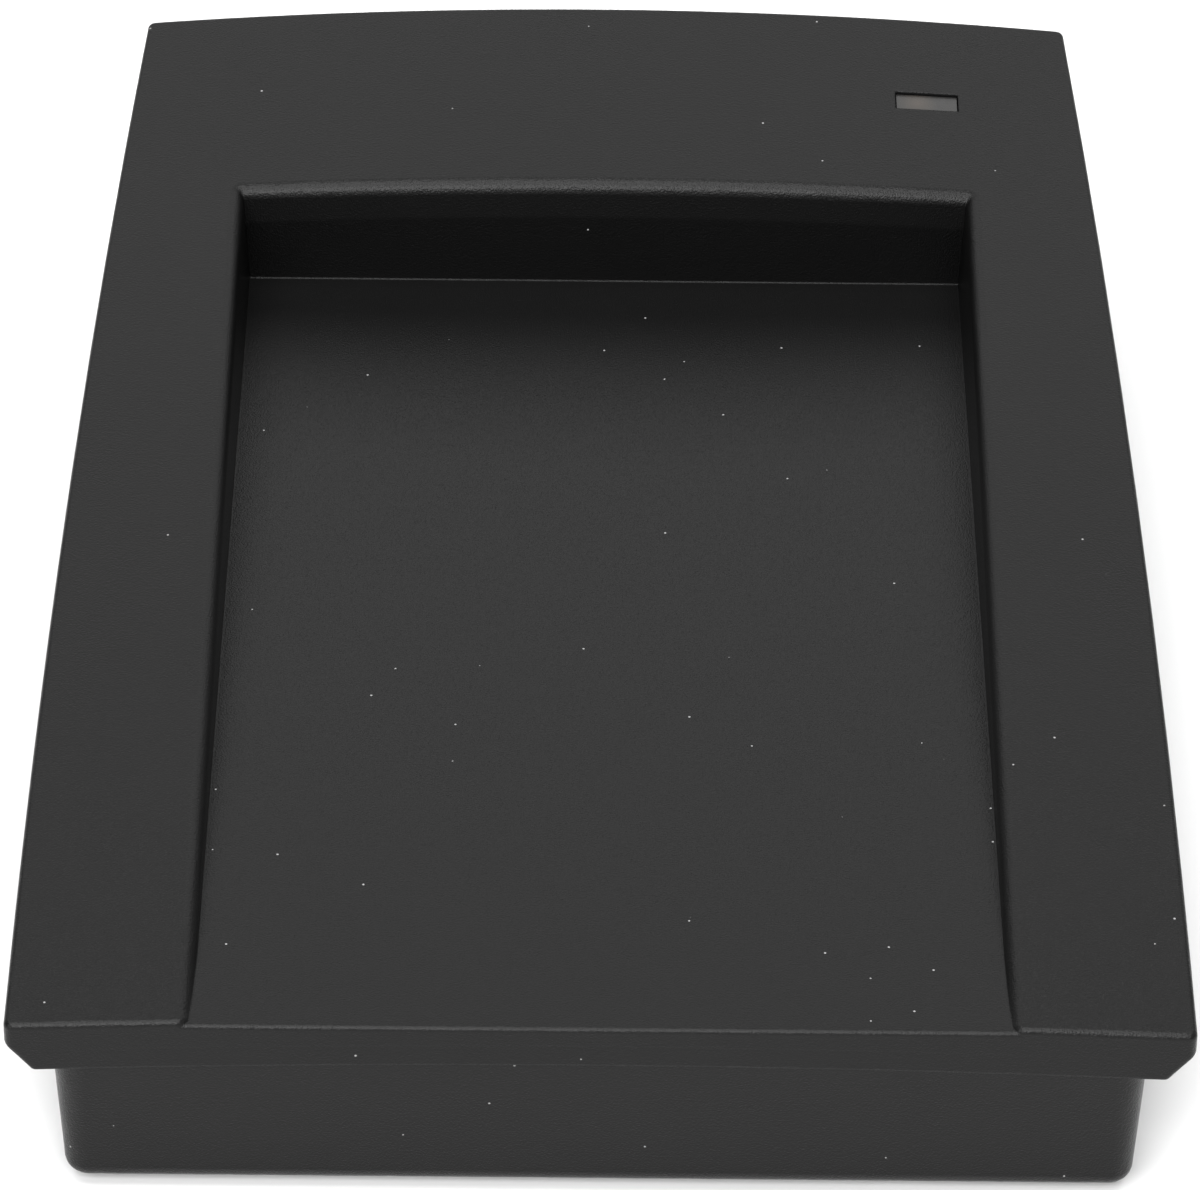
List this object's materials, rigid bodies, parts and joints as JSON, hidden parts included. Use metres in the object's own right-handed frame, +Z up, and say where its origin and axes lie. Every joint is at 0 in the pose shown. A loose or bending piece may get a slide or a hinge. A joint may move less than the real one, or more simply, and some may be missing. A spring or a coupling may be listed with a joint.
{
  "type": "desktop contactless card reader",
  "caption": "Low wedge-shaped desktop card reader with a level tray for an ID-1 card, a smoked status window and a USB type B socket at the back.",
  "frame": {"origin": "on the surface it stands on, under the middle of its footprint", "axes": "+X to the reader's right, +Y to its back (the USB socket's end), +Z up"},
  "size_m": [0.08, 0.1105, 0.0261],
  "materials": {
    "case_plastic": "fine moulded grain, matt black",
    "smoked_lens": "smoked, smooth",
    "rubber_foot": "matt",
    "label_film": "plain, satin",
    "board": "green solder mask",
    "copper_track": "bare copper",
    "chip_plastic": "moulded black",
    "pale_plastic": "moulded ivory",
    "ceramic": "fired ceramic",
    "tinned_metal": "bright tin",
    "nickel": "nickel plated sheet",
    "gold_contact": "gold flash",
    "can_aluminium": "satin",
    "screw_steel": "dark zinc"
  },
  "bodies": {
    "root": {"top_cover": "case_plastic", "base_housing": "case_plastic", "status_lens": "smoked_lens", "status_leds": "pale_plastic", "main_board": "board", "radio_chip": "chip_plastic", "radio_chip_leads": "tinned_metal", "controller_chip": "chip_plastic", "controller_chip_leads": "tinned_metal", "crystals": "nickel", "voltage_regulator": "chip_plastic", "regulator_leads": "tinned_metal", "filter_capacitor": "can_aluminium", "capacitor_base": "chip_plastic", "tuning_coils": "chip_plastic", "chip_capacitors": "ceramic", "chip_resistors": "chip_plastic", "buzzer": "chip_plastic", "usb_shell": "nickel", "usb_insulator": "pale_plastic", "usb_contacts": "gold_contact", "antenna_board": "board", "antenna_coil": "copper_track", "antenna_pins": "gold_contact", "antenna_socket": "chip_plastic", "case_screws": "screw_steel", "board_screws": "tinned_metal", "antenna_screws": "tinned_metal", "foot_front_left": "rubber_foot", "foot_front_right": "rubber_foot", "foot_back_left": "rubber_foot", "foot_back_right": "rubber_foot", "blank_label": "label_film"}
  },
  "joints": []
}
